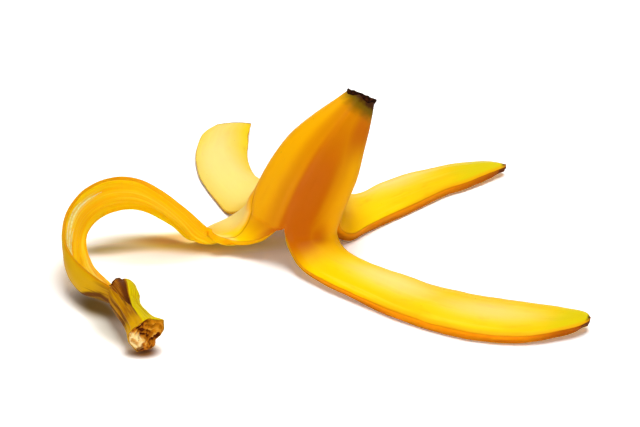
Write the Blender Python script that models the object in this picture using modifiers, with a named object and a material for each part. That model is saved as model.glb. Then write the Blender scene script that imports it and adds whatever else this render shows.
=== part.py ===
"""A banana peel lying as it was dropped: the uncut end of the banana stands up as a
hollow cone with the dark tip on top, and four torn strips run out from its foot with
the skin side up. One strip twists over, arches and curls round to the stem.

The shape is worked out in millimetres about a point on the floor under the cone.
Each strip is a sheet of cross arcs between its two torn edges. The sheets are merged,
thickened inwards, and joined to the stem and to the tip.
"""

import math

import bpy
import bmesh
import numpy as np
from mathutils import Matrix, Vector

MM = 0.001

# The skin
WALL = 3.7  # thickness
ROW_STEP = 3.9  # distance between the rows down the peel
COLUMNS = 8  # facets across each strip
RIDGES = 5  # long ridges round a banana
RIDGE_RISE = 0.5  # how far a ridge stands out, and how far a flat lies in
FIRST_RIDGE = 255.0  # direction of one ridge, in degrees from +X

# The cone, from the tip down: centre, radius, and how many degrees the ring leans
# to +X and back to +Y
CONE = (
    ((25.4, 9.0, 64.0), 5.9, 24.0, 24.0),
    ((22.3, 7.5, 59.6), 8.3, 23.0, 20.0),
    ((17.7, 5.2, 53.6), 11.6, 20.0, 14.0),
    ((12.3, 3.4, 45.7), 15.2, 17.0, 8.0),
    ((7.3, 1.8, 36.3), 17.8, 12.0, 3.0),
    ((2.7, 0.8, 26.5), 18.9, 7.0, 0.0),
    ((-0.9, 0.2, 17.0), 19.6, 3.0, 0.0),
    ((-2.2, 0.0, 8.0), 21.0, 0.0, 0.0),
)

# Each tear: its direction in degrees, and how far from the tip it starts
TEAR_STEM_FRONT = (255.0, 14 * ROW_STEP)
TEAR_FRONT_RIGHT = (335.0, 14 * ROW_STEP)
TEAR_RIGHT_BACK = (65.0, 13 * ROW_STEP)
TEAR_BACK_STEM = (165.0, 12 * ROW_STEP)
ALL_FREE = 14 * ROW_STEP  # from here on every strip is on its own
TEAR_BLEND = 16.0  # length over which a strip leaves the round of the cone

# Each strip past ALL_FREE: a point of its one torn edge, the point of the other edge
# across from it, and how high the skin is arched between them. None is a point that
# still lies on the cone.
FRONT_STRIP = (
    (None, None, None),
    ((-4.5, -21.0, 11.5), (15.5, -9.5, 10.0), 4.5),
    ((-2.5, -24.5, 8.0), (17.5, -14.5, 7.0), 4.0),
    ((1.5, -30.5, 5.5), (21.5, -19.0, 5.5), 3.2),
    ((11.0, -40.0, 4.6), (30.5, -26.5, 4.8), 2.6),
    ((23.5, -51.0, 4.2), (42.0, -34.5, 4.6), 2.2),
    ((37.5, -62.5, 4.0), (55.0, -43.0, 4.4), 2.0),
    ((54.0, -73.0, 4.0), (70.5, -50.0, 4.3), 1.8),
    ((72.0, -79.5, 4.0), (87.0, -55.0, 4.3), 1.6),
    ((87.0, -81.0, 4.3), (101.0, -59.0, 4.5), 1.4),
    ((100.0, -78.0, 4.8), (108.5, -62.5, 5.0), 1.0),
    ((108.5, -74.5, 5.2), (112.0, -65.5, 5.4), 0.6),
    ((112.0, -71.5, 5.4), (113.0, -69.0, 5.4), 0.0),
)
RIGHT_STRIP = (
    (None, (8.5, 19.5, 17.0), None),
    ((18.0, -2.5, 9.5), (12.0, 24.5, 12.0), 4.5),
    ((21.0, -1.5, 6.5), (17.0, 31.0, 7.5), 4.0),
    ((28.0, 5.5, 5.0), (24.5, 35.5, 5.0), 3.0),
    ((39.0, 17.0, 4.5), (35.0, 47.5, 4.2), 2.4),
    ((51.0, 28.5, 4.4), (47.0, 56.5, 4.2), 2.0),
    ((63.5, 40.5, 4.4), (61.0, 63.5, 4.2), 1.8),
    ((75.5, 49.0, 4.5), (75.0, 68.5, 4.4), 1.4),
    ((86.0, 57.0, 4.8), (86.0, 68.5, 4.8), 0.8),
    ((92.0, 62.0, 5.0), (93.0, 65.0, 5.0), 0.0),
)
BACK_STRIP = (
    ((6.5, 19.8, 16.5), (-18.5, 12.5, 19.5), None),
    ((3.0, 25.0, 12.0), (-21.0, 17.5, 13.0), 5.5),
    ((-3.0, 32.0, 8.0), (-25.0, 19.5, 7.5), 5.0),
    ((-9.0, 40.0, 5.5), (-30.0, 21.0, 4.5), 4.0),
    ((-15.0, 48.0, 4.6), (-37.0, 32.0, 4.2), 3.2),
    ((-20.0, 54.0, 4.4), (-43.5, 46.0, 4.2), 2.6),
    ((-23.5, 64.5, 4.3), (-47.5, 60.5, 4.2), 2.4),
    ((-25.0, 77.0, 4.2), (-49.0, 76.0, 4.2), 2.2),
    ((-25.0, 91.0, 4.2), (-47.5, 89.0, 4.2), 2.0),
    ((-25.0, 100.5, 4.2), (-43.5, 100.5, 4.2), 1.6),
    ((-24.5, 108.5, 4.2), (-35.0, 109.0, 4.2), 0.8),
)
STEM_STRIP = (
    ((-20.5, 7.5, 17.5), None, None),
    ((-23.5, 10.0, 11.0), (-10.0, -17.0, 15.0), 5.0),
    ((-27.0, 11.0, 6.5), (-14.0, -16.0, 11.5), 4.5),
    ((-32.0, 7.5, 4.2), (-20.5, -14.0, 8.5), 4.0),
    ((-38.5, 4.0, 3.9), (-28.0, -11.0, 8.0), 3.8),
    ((-45.5, 3.2, 4.6), (-35.0, -7.5, 10.5), 3.2),
    ((-53.0, 5.0, 7.5), (-43.5, -7.5, 17.0), 2.6),
    ((-61.5, 7.5, 11.0), (-55.0, -4.0, 25.5), 2.2),
    ((-70.5, 7.0, 14.0), (-65.5, -1.5, 31.0), 2.0),
    ((-78.0, 3.5, 14.5), (-76.5, -3.0, 33.0), 2.0),
    ((-84.5, 0.0, 13.0), (-86.5, -8.5, 31.5), 2.2),
    ((-88.5, -5.5, 10.5), (-92.5, -16.0, 28.0), 2.6),
    ((-89.5, -13.5, 8.0), (-95.0, -27.5, 23.5), 3.2),
    ((-86.5, -22.5, 5.5), (-94.0, -35.0, 19.5), 5.0),
    ((-81.5, -31.5, 4.5), (-89.5, -42.5, 17.0), 7.8),
    ((-76.5, -39.5, 4.6), (-82.5, -50.0, 14.6), 8.4),
    ((-71.0, -47.5, 4.2), (-77.0, -55.5, 13.6), 7.8),
    ((-66.5, -54.0, 4.2), (-72.5, -59.5, 13.0), 7.0),
)
STRIPS = (
    (TEAR_STEM_FRONT, TEAR_FRONT_RIGHT, FRONT_STRIP),
    (TEAR_FRONT_RIGHT, TEAR_RIGHT_BACK, RIGHT_STRIP),
    (TEAR_RIGHT_BACK, TEAR_BACK_STEM, BACK_STRIP),
    (TEAR_BACK_STEM, TEAR_STEM_FRONT, STEM_STRIP),
)

# The stem: points of its centre line with the radius there
STEM = (
    ((-72.0, -52.5, 8.2), 4.6),
    ((-69.0, -58.5, 8.8), 6.4),
    ((-65.5, -66.0, 8.6), 5.3),
    ((-63.0, -72.0, 8.2), 5.0),
    ((-60.5, -77.5, 8.0), 5.4),
    ((-58.5, -82.0, 7.8), 6.8),
    ((-57.5, -84.5, 7.8), 7.2),
)
STEM_SIDES = 20
STEM_FLUTE = 0.07  # depth of the hollows between the stem's ridges, as a part of its radius

# The dark tip
TIP_RADIUS = 6.2
TIP_FLARE = 1.05  # width of the tip's top against its foot
TIP_HEIGHT = 3.7
TIP_SUNK = 3.0  # how far the tip reaches down into the cone
TIP_SIDES = 24


def tangents(points, gaps):
    """Direction of a smooth curve at each of its points."""
    slopes = np.diff(points, axis=0) / gaps[:, None]
    inner = (slopes[:-1] * gaps[1:, None] + slopes[1:] * gaps[:-1, None]) / (gaps[1:] + gaps[:-1])[:, None]
    return np.vstack([slopes[:1], inner, slopes[-1:]])


class SmoothCurve:
    """A curve through points, read by distance. Numbers after x, y and z are carried along."""

    def __init__(self, points):
        self.points = np.array(points, float)
        gaps = np.linalg.norm(np.diff(self.points[:, :3], axis=0), axis=1)
        self.gaps = np.maximum(gaps, 1e-6)
        self.marks = np.concatenate([[0.0], np.cumsum(self.gaps)])
        self.tangents = tangents(self.points, self.gaps)

    def at(self, distance):
        distance = min(max(distance, 0.0), self.marks[-1])
        first = min(int(np.searchsorted(self.marks, distance, side="right")) - 1, len(self.gaps) - 1)
        gap = self.gaps[first]
        u = (distance - self.marks[first]) / gap
        return (
            (2 * u**3 - 3 * u**2 + 1) * self.points[first]
            + (u**3 - 2 * u**2 + u) * gap * self.tangents[first]
            + (3 * u**2 - 2 * u**3) * self.points[first + 1]
            + (u**3 - u**2) * gap * self.tangents[first + 1]
        )

    def steps(self, first, last, count):
        """Points after the one marked first, up to and including the one marked last."""
        start = self.marks[first]
        length = self.marks[last] - start
        return [self.at(start + length * step / count) for step in range(1, count + 1)]


CONE_LINE = SmoothCurve([(*centre, *others) for centre, *others in CONE])


def ridge_rise(angle):
    return RIDGE_RISE * math.cos(RIDGES * math.radians(angle - FIRST_RIDGE))


def ring_turn(lean_right, lean_back):
    """The turn that leans a level ring to +X and back to +Y."""
    back = Matrix.Rotation(-math.radians(lean_back), 4, "X")
    return Matrix.Rotation(math.radians(lean_right), 4, "Y") @ back


def cone_point(angle, distance):
    """A point of the uncut skin, this far from the tip."""
    x, y, z, radius, lean_right, lean_back = CONE_LINE.at(distance)
    radius += ridge_rise(angle) * radius / CONE[-2][1]
    angle = math.radians(angle)
    spoke = Vector((radius * math.cos(angle), radius * math.sin(angle), 0.0))
    return np.array((x, y, z)) + np.array(ring_turn(lean_right, lean_back) @ spoke)


def smooth_step(value):
    value = min(max(value, 0.0), 1.0)
    return value * value * (3 - 2 * value)


def edge_line(tear, points, counts):
    """One torn edge, row by row: down the cone to the start of the tear, then free."""
    angle, start = tear
    if points[0] is None:
        points = (cone_point(angle, ALL_FREE), *points[1:])
        start = ALL_FREE
    rows = [cone_point(angle, row * ROW_STEP) for row in range(round(start / ROW_STEP) + 1)]
    passed = [cone_point(angle, start - ROW_STEP), cone_point(angle, start)]
    if start < ALL_FREE:
        passed.append(points[0])
    curve = SmoothCurve([*passed, *points[1:]])
    mark = len(passed) - 1
    if start < ALL_FREE:
        rows += curve.steps(1, mark, round((ALL_FREE - start) / ROW_STEP))
    for count in counts:
        rows += curve.steps(mark, mark + 1, count)
        mark += 1
    return np.array(rows)


def row_counts(first_edge, second_edge):
    """How many rows lie between each pair of neighbouring points of the edges."""
    counts = []
    for index in range(1, len(first_edge)):
        lengths = [
            np.linalg.norm(np.subtract(edge[index], edge[index - 1]))
            for edge in (first_edge, second_edge)
        ]
        counts.append(max(1, round(sum(lengths) / 2 / ROW_STEP)))
    return counts


def arch_heights(angle_span, arches, counts):
    """How high the skin is arched between the edges of each row."""
    flatness = 1 - math.cos(math.radians(angle_span) / 2)
    cone_rows = round(ALL_FREE / ROW_STEP) + 1
    heights = [CONE_LINE.at(row * ROW_STEP)[3] * flatness for row in range(cone_rows)]
    curve = SmoothCurve([(index, 0.0, 0.0, arch) for index, arch in enumerate([heights[-1], *arches])])
    for index, count in enumerate(counts):
        heights += [point[3] for point in curve.steps(index, index + 1, count)]
    return heights


def cross_arc(first, second, along, arch, places):
    """Points of the arc from one edge to the other, arched away from the inner side."""
    across = second - first
    half_width = np.linalg.norm(across) / 2
    across = across / (2 * half_width)
    outward = np.cross(along, across)
    outward /= np.linalg.norm(outward)
    half_angle = 2 * math.atan(max(arch, 0.01) / half_width)
    radius = half_width / math.sin(half_angle)
    middle = (first + second) / 2
    return np.array(
        [
            middle
            + across * radius * math.sin(half_angle * place)
            + outward * radius * (math.cos(half_angle * place) - math.cos(half_angle))
            for place in places
        ]
    )


def strip_rows(first_tear, second_tear, stations):
    """The outer skin of one strip, from the tip to its end, as rows of points."""
    first_angle, second_angle = first_tear[0], second_tear[0]
    if second_angle < first_angle:
        second_angle += 360.0
    first_points, second_points, arches = zip(*stations)
    ends = [
        (points[0] if points[0] is not None else cone_point(tear[0], ALL_FREE), *points[1:])
        for tear, points in ((first_tear, first_points), (second_tear, second_points))
    ]
    counts = row_counts(*ends)
    first_edge = edge_line(first_tear, first_points, counts)
    second_edge = edge_line(second_tear, second_points, counts)
    heights = arch_heights(second_angle - first_angle, arches[1:], counts)
    middle = (first_edge + second_edge) / 2
    places = np.linspace(-1.0, 1.0, COLUMNS + 1)
    share = (places + 1) / 2
    angles = first_angle + (second_angle - first_angle) * share
    tear_start = min(first_tear[1], second_tear[1])
    rows = []
    for index, (first, second) in enumerate(zip(first_edge, second_edge)):
        distance = index * ROW_STEP
        free = smooth_step((distance - tear_start) / TEAR_BLEND)
        row = np.zeros((COLUMNS + 1, 3))
        if free < 1.0:
            on_cone = np.array([cone_point(angle, distance) for angle in angles])
            pulled = np.outer(1 - share, first - on_cone[0]) + np.outer(share, second - on_cone[-1])
            row += (on_cone + pulled) * (1 - free)
        if free > 0.0:
            along = middle[min(index + 1, len(middle) - 1)] - middle[index - 1]
            row += cross_arc(first, second, along, heights[index], places) * free
        rows.append(row)
    return np.array(rows)


def make_collection(name):
    collection = bpy.data.collections.new(name)
    bpy.context.scene.collection.children.link(collection)
    return collection


def put_in(obj, collection):
    for held_by in list(obj.users_collection):
        held_by.objects.unlink(obj)
    collection.objects.link(obj)


def make_material(name, colour, roughness):
    material = bpy.data.materials.new(name)
    material.use_nodes = True
    surface = material.node_tree.nodes["Principled BSDF"]
    surface.inputs["Base Color"].default_value = (*colour, 1.0)
    surface.inputs["Roughness"].default_value = roughness
    surface.inputs["Metallic"].default_value = 0.0
    material.diffuse_color = (*colour, 1.0)
    return material


def make_strip(rows):
    """A grid with its points moved onto the rows."""
    last_row, last_column = rows.shape[0] - 1, rows.shape[1] - 1
    bpy.ops.mesh.primitive_grid_add(x_subdivisions=last_row, y_subdivisions=last_column, size=1.0)
    obj = bpy.context.active_object
    for vertex in obj.data.vertices:
        row = round((vertex.co.x + 0.5) * last_row)
        column = round((vertex.co.y + 0.5) * last_column)
        vertex.co = rows[row, column] * MM
    return obj


def make_skin():
    """The four strips as one open sheet, merged along the cone and thickened inwards."""
    sheets = [make_strip(strip_rows(*strip)) for strip in STRIPS]
    skin = sheets[0]
    bpy.ops.object.select_all(action="DESELECT")
    for sheet in sheets:
        sheet.select_set(True)
    bpy.context.view_layer.objects.active = skin
    bpy.ops.object.join()
    sheet_mesh = bmesh.new()
    sheet_mesh.from_mesh(skin.data)
    bmesh.ops.remove_doubles(sheet_mesh, verts=sheet_mesh.verts, dist=0.01 * MM)
    sheet_mesh.to_mesh(skin.data)
    sheet_mesh.free()
    thickness = skin.modifiers.new("wall", "SOLIDIFY")
    thickness.thickness = WALL * MM
    thickness.offset = -1.0
    return skin


def make_stem():
    """A fluted bar along the stem's centre line, as a closed mesh."""
    profile = bpy.data.curves.new("stem_profile", "CURVE")
    outline = profile.splines.new("POLY")
    outline.points.add(STEM_SIDES - 1)
    for index, point in enumerate(outline.points):
        turn = 2 * math.pi * index / STEM_SIDES
        radius = MM * (1 + STEM_FLUTE * math.cos(RIDGES * turn))
        point.co = (radius * math.cos(turn), radius * math.sin(turn), 0.0, 1.0)
    outline.use_cyclic_u = True
    profile_object = bpy.data.objects.new("stem_profile", profile)
    bpy.context.scene.collection.objects.link(profile_object)

    line = SmoothCurve([(*centre, radius) for centre, radius in STEM])
    path = bpy.data.curves.new("stem_path", "CURVE")
    path.dimensions = "3D"
    path.bevel_mode = "OBJECT"
    path.bevel_object = profile_object
    path.use_fill_caps = True
    spline = path.splines.new("POLY")
    count = round(line.marks[-1] / ROW_STEP * 2)
    spline.points.add(count)
    for index, point in enumerate(spline.points):
        *centre, radius = line.at(line.marks[-1] * index / count)
        point.co = (*np.multiply(centre, MM), 1.0)
        point.radius = radius
    path_object = bpy.data.objects.new("stem_path", path)
    bpy.context.scene.collection.objects.link(path_object)

    graph = bpy.context.evaluated_depsgraph_get()
    mesh = bpy.data.meshes.new_from_object(path_object.evaluated_get(graph))
    solid = bmesh.new()
    solid.from_mesh(mesh)
    bmesh.ops.remove_doubles(solid, verts=solid.verts, dist=0.01 * MM)
    bmesh.ops.recalc_face_normals(solid, faces=solid.faces)
    solid.to_mesh(mesh)
    solid.free()
    stem = bpy.data.objects.new("stem_form", mesh)
    bpy.context.scene.collection.objects.link(stem)
    bpy.data.objects.remove(path_object)
    bpy.data.objects.remove(profile_object)
    return stem


def make_tip():
    """The plug of the dark tip, leaning with the end of the cone."""
    centre, _, *leans = CONE[0]
    middle = ring_turn(*leans) @ Matrix.Translation((0.0, 0.0, (TIP_HEIGHT / 2 - TIP_SUNK) * MM))
    bpy.ops.mesh.primitive_cone_add(
        vertices=TIP_SIDES,
        radius1=TIP_RADIUS * MM,
        radius2=TIP_RADIUS * TIP_FLARE * MM,
        depth=TIP_HEIGHT * MM,
    )
    tip = bpy.context.active_object
    tip.name = "tip_form"
    tip.matrix_world = Matrix.Translation([value * MM for value in centre]) @ middle
    return tip


def join_form(skin, form, cutters):
    put_in(form, cutters)
    form.hide_render = True
    form.display_type = "WIRE"
    union = skin.modifiers.new(form.name, "BOOLEAN")
    union.operation = "UNION"
    union.solver = "EXACT"
    union.object = form


def stand_on_origin(objects):
    """Moves the objects so that the box round the first one stands on the origin."""
    bpy.context.view_layer.update()
    graph = bpy.context.evaluated_depsgraph_get()
    corners = np.array(objects[0].evaluated_get(graph).bound_box)
    low, high = corners.min(axis=0), corners.max(axis=0)
    foot = bpy.data.objects.new("peel_foot", None)
    objects[0].users_collection[0].objects.link(foot)
    for obj in objects:
        obj.parent = foot
    foot.location = (-(low[0] + high[0]) / 2, -(low[1] + high[1]) / 2, -low[2])


def main():
    for obj in list(bpy.data.objects):
        bpy.data.objects.remove(obj)
    parts = make_collection("banana_peel")
    cutters = make_collection("banana_peel_forms")
    skin = make_skin()
    skin.name = "peel"
    put_in(skin, parts)
    skin.data.materials.clear()
    skin.data.materials.append(make_material("peel_skin", (0.93, 0.58, 0.02), 0.45))
    forms = [make_tip(), make_stem()]
    for form in forms:
        join_form(skin, form, cutters)
    skin.data.shade_smooth()
    stand_on_origin([skin, *forms])


main()
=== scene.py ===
import math

import bpy
import numpy as np
from mathutils import Matrix, Vector, noise


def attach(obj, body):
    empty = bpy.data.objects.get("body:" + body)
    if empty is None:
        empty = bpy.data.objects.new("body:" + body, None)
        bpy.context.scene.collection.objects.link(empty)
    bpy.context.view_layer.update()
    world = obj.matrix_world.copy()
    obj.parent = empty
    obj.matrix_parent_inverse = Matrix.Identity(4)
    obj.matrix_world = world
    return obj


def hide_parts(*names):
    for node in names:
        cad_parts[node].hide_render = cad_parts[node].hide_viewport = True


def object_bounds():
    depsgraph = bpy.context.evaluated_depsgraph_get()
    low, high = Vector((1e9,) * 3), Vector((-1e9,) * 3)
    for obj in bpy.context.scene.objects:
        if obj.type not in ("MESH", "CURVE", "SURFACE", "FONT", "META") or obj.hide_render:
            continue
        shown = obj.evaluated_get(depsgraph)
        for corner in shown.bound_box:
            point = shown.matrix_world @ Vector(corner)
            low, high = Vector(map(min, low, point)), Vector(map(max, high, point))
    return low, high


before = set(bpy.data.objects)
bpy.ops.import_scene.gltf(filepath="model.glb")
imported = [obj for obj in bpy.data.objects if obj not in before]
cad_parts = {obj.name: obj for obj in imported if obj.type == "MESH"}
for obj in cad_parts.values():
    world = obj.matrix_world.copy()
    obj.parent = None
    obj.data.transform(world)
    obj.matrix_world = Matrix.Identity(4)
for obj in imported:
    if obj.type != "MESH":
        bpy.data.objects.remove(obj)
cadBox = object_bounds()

mm = 0.001
# The shapes are worked out in millimetres from the point on the floor under the cone.
# footShift moves them so that the whole peel stands over the origin, as the frame does.
footShift = Vector((-8.52, -10.83, -0.36)) * mm
farAway = 99.0  # the distance to something that isn't there

bpy.ops.object.select_all(action="DESELECT")

peel = {
    "wall": 3.7,          # thickness of the skin with its pith
    "thickestWall": 5.0,  # where a torn edge is swollen
    "wallTaper": 7.0,     # length over which the wall thins towards a torn edge
    "rowStep": 0.975,     # distance between the rows down the peel
    "columns": 40,        # facets across each strip
    "ridges": 5,          # long ridges round a banana
    "ridgeRise": 1.7,     # height of a ridge over the flats beside it
    "firstRidge": 255.0,  # direction of one ridge, in degrees from +X
    "fruitRadius": 19,    # the patterns run round a whole fruit of this radius
    "allFree": 54.6,      # from this far down every strip is on its own
    "tearBlend": 16.0,    # length over which a strip leaves the round of the cone
    "easedRows": 12,      # rows over which a strip's edges and arch are evened out
    "uncutGap": 30.0,     # how far away an edge counts as before it is torn
    "lowEdgeShadeFrom": 130,   # from here out the edges that face the front take their painted shade in full
    "dents": 0.45,        # height of the soft unevenness of the skin
    "dentSize": 15.0,
    "fray": 0.16,         # how far a torn edge wanders
}

# The front ridge swings a little to the left half way down: distance from the tip, degrees
ridgeSwing = ((0, 0.0), (8, 0.5), (21, 4.5), (34, 9.0), (43, 10.0), (52, 4.0), (60, 0.0))

# From the tip down: centre, radius, and how far the ring leans to +X and back to +Y
coneRings = (
    ((25.4, 9.0, 64.0), 5.9, 24.0, 24.0),
    ((22.3, 7.5, 59.6), 8.3, 23.0, 20.0),
    ((17.7, 5.2, 53.6), 11.6, 20.0, 14.0),
    ((12.3, 3.4, 45.7), 15.2, 17.0, 8.0),
    ((7.3, 1.8, 36.3), 17.8, 12.0, 3.0),
    ((2.7, 0.8, 26.5), 18.9, 7.0, 0.0),
    ((-0.9, 0.2, 17.0), 19.6, 3.0, 0.0),
    ((-2.2, 0.0, 8.0), 21.0, 0.0, 0.0),
)

# Each tear: its direction in degrees, and how far from the tip it starts
stemFrontTear = (255.0, 54.6)
frontRightTear = (335.0, 54.6)
rightBackTear = (65.0, 50.7)
backStemTear = (165.0, 46.8)

# The strips. A station is a point of the first torn edge, the point of the second across
# from it, and how high the skin is arched between them. None means still on the cone.
# green is the length of unripe skin at the end, stalk the length that turns golden towards
# the stalk, and brown the length that has dried.
# edgeWalls gives the wall at each torn edge by distance from the tip, and flare how far
# the pith stands out past the skin there.
# Then come painted highlights, soft pale places where light falls on the skin: distance, share across, their
# reach in each, strength.
frontStrip = {
    "tears": (stemFrontTear, frontRightTear),
    "green": 34.0,
    "stalk": 0.0,
    "brown": 2.0,
    "endWall": 2.6,
    "edgeWalls": (
        ((50, 1.0), (70, 1.4), (86, 2.6), (105, 3.6), (205, 3.2)),
        ((50, 2.0), (100, 2.4), (200, 2.4)),
    ),
    "flare": (1.2, 0.0),
    "highlightSpots": ((104, 0.62, 24, 0.30, 0.75), (150, 0.55, 26, 0.30, 0.60)),
    "stations": (
        (None, None, None),
        ((-4.5, -21.0, 11.5), (15.5, -9.5, 10.0), 4.5),
        ((-2.5, -24.5, 8.0), (17.5, -14.5, 7.0), 4.0),
        ((1.5, -30.5, 5.5), (21.5, -19.0, 5.5), 3.2),
        ((11.0, -40.0, 4.6), (30.5, -26.5, 4.8), 2.6),
        ((23.5, -51.0, 4.2), (42.0, -34.5, 4.6), 2.2),
        ((37.5, -62.5, 4.0), (55.0, -43.0, 4.4), 2.0),
        ((54.0, -73.0, 4.0), (70.5, -50.0, 4.3), 1.8),
        ((72.0, -79.5, 4.0), (87.0, -55.0, 4.3), 1.6),
        ((87.0, -81.0, 4.3), (101.0, -59.0, 4.5), 1.4),
        ((100.0, -78.0, 4.8), (108.5, -62.5, 5.0), 1.0),
        ((108.5, -74.5, 5.2), (112.0, -65.5, 5.4), 0.6),
        ((112.0, -71.5, 5.4), (113.0, -69.0, 5.4), 0.0),
    ),
}
rightStrip = {
    "tears": (frontRightTear, rightBackTear),
    "green": 52.0,
    "stalk": 0.0,
    "brown": 2.0,
    "endWall": 2.2,
    "edgeWalls": (
        ((50, 3.0), (62, 5.0), (76, 4.6), (100, 4.0), (150, 3.0)),
        ((50, 2.0), (100, 2.4), (200, 2.4)),
    ),
    "flare": (1.8, 0.0),
    "highlightSpots": ((72, 0.70, 18, 0.40, 0.25), (104, 0.75, 24, 0.30, 0.55)),
    "stations": (
        (None, (8.5, 19.5, 17.0), None),
        ((18.0, -3.8, 8.0), (12.0, 24.5, 12.0), 4.2),
        ((21.5, -2.0, 5.2), (17.0, 31.0, 7.5), 3.6),
        ((28.0, 5.5, 4.9), (24.5, 35.5, 5.0), 2.8),
        ((39.0, 17.0, 4.5), (35.0, 47.5, 4.2), 2.4),
        ((51.0, 28.5, 4.4), (47.0, 56.5, 4.2), 2.0),
        ((63.5, 40.5, 4.4), (61.0, 63.5, 4.2), 1.8),
        ((75.5, 49.0, 4.5), (75.0, 68.5, 4.4), 1.4),
        ((86.0, 57.0, 4.8), (86.0, 68.5, 4.8), 0.8),
        ((92.0, 62.0, 5.0), (93.0, 65.0, 5.0), 0.0),
    ),
}
backStrip = {
    "tears": (rightBackTear, backStemTear),
    "green": 2.0,
    "stalk": 0.0,
    "brown": 0.4,
    "endWall": 2.0,
    "edgeWalls": (
        ((50, 2.0), (70, 1.4), (160, 1.4)),
        ((46, 1.6), (66, 1.0), (110, 0.9), (160, 1.4)),
    ),
    "flare": (0.0, 0.3),
    "highlightSpots": ((110, 0.60, 60, 0.55, 0.85),),
    "stations": (
        ((6.5, 19.8, 16.5), (-18.5, 12.5, 19.5), None),
        ((3.0, 25.0, 12.0), (-21.0, 17.5, 13.0), 5.5),
        ((-3.0, 33.0, 7.0), (-25.0, 19.0, 5.8), 5.4),
        ((-9.0, 42.5, 3.6), (-31.0, 23.0, 2.1), 5.2),
        ((-15.0, 52.0, 2.4), (-37.6, 36.4, 1.3), 5.4),
        ((-20.0, 58.5, 2.0), (-43.5, 51.4, 1.3), 5.6),
        ((-23.5, 69.0, 2.0), (-47.5, 65.6, 1.5), 5.2),
        ((-25.0, 80.5, 2.4), (-49.0, 79.6, 2.2), 4.4),
        ((-25.0, 93.0, 3.2), (-48.6, 91.0, 3.2), 3.2),
        ((-25.0, 101.6, 3.8), (-46.2, 102.0, 3.8), 2.2),
        ((-24.3, 110.3, 4.2), (-40.5, 109.4, 4.2), 0.8),
    ),
}
stemStrip = {
    "tears": (backStemTear, stemFrontTear),
    "green": 1.0,
    "stalk": 78.0,
    "brown": 0.0,
    "endWall": 3.0,
    "edgeWalls": (
        ((46, 1.6), (70, 1.6), (92, 2.0), (106, 2.6), (150, 2.8), (205, 1.8)),
        ((50, 1.0), (59, 1.4), (70, 3.3), (82, 3.0), (92, 2.6), (106, 2.2),
         (134, 1.3), (185, 1.0), (205, 1.6)),
    ),
    "flare": (0.0, 0.0),
    "highlightSpots": ((70, 0.25, 16, 0.45, 0.85), (84, 0.92, 9, 0.14, 0.7)),
    # lines on the strip are given by distance from the tip and share across
    # a fold in the skin where the strip leaves the cone
    "crease": ((46.0, 0.20), (52.6, 0.30), (55.6, 0.38), (61, 0.48), (67.3, 0.60), (72.1, 0.68),
               (79.0, 0.85), (84.8, 0.92), (92, 1.02)),
    "foldFrom": 47,
    "bothHighlitFrom": 76,  # up to here only the far side of the fold, which faces the light, has the painted highlight
    # the brown vein along the outside of the hook
    "vein": ((168, 0.62), (178, 0.62), (185, 0.54), (190, 0.54), (197, 0.66), (203, 0.74),
             (210, 0.62), (216, 0.5)),
    "underFrom": 180,    # from here the skin below the vein is painted dark: shade on the underside
    # the lane in which cream strings cling to the pith
    "creamLane": ((130, 0.74), (160, 0.80), (200, 0.84)),
    "creamFrom": 132,
    "creamEdgeFrom": 160,
    "stations": (
        ((-20.5, 7.5, 17.5), None, None),
        ((-23.5, 11.2, 11.7), (-10.0, -17.0, 15.0), 5.0),
        ((-27.0, 13.0, 7.8), (-14.0, -16.0, 11.5), 4.5),
        ((-32.0, 12.0, 5.2), (-20.5, -14.0, 8.5), 3.0),
        ((-39.0, 7.5, 4.4), (-28.0, -11.4, 7.4), 1.6),
        ((-45.5, -0.5, 2.8), (-35.0, -8.2, 9.2), -0.6),  # flat here, where it turns over
        ((-53.0, 4.6, 7.0), (-43.5, -7.5, 17.0), 1.4),
        ((-61.5, 7.5, 11.0), (-55.0, -4.0, 25.5), 2.2),
        ((-70.5, 7.0, 14.0), (-65.5, -1.5, 31.0), 2.0),
        ((-78.0, 3.5, 14.5), (-76.5, -3.0, 33.0), 2.0),
        ((-84.5, 0.0, 13.0), (-86.5, -8.5, 31.5), 2.2),
        ((-88.5, -5.5, 10.5), (-92.5, -16.0, 28.0), 2.6),
        ((-89.5, -13.5, 8.0), (-95.0, -27.5, 23.5), 3.2),
        ((-86.5, -22.5, 5.5), (-94.0, -35.0, 19.5), 5.0),
        ((-81.5, -31.5, 4.5), (-89.5, -42.5, 17.0), 8.6),
        ((-76.5, -39.5, 4.6), (-82.5, -50.0, 14.6), 9.4),
        ((-71.0, -47.5, 4.2), (-77.0, -55.5, 13.6), 6.8),
        ((-66.5, -54.0, 4.2), (-72.5, -59.5, 13.0), 5.4),
        ((-63.0, -61.0, 5.4), (-68.5, -66.0, 12.0), 3.6),  # sinks into the stem
    ),
}
strips = (frontStrip, rightStrip, backStrip, stemStrip)

# Painted shade on the cone, a darker orange where shade falls: direction in degrees, distance from the tip,
# reach in each, strength
shadeSpots = (
    (284, 53, 14, 8, 0.7),
    (296, 60, 19, 7, 0.75),
    (312, 13, 34, 11, 0.9),
)


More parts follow.
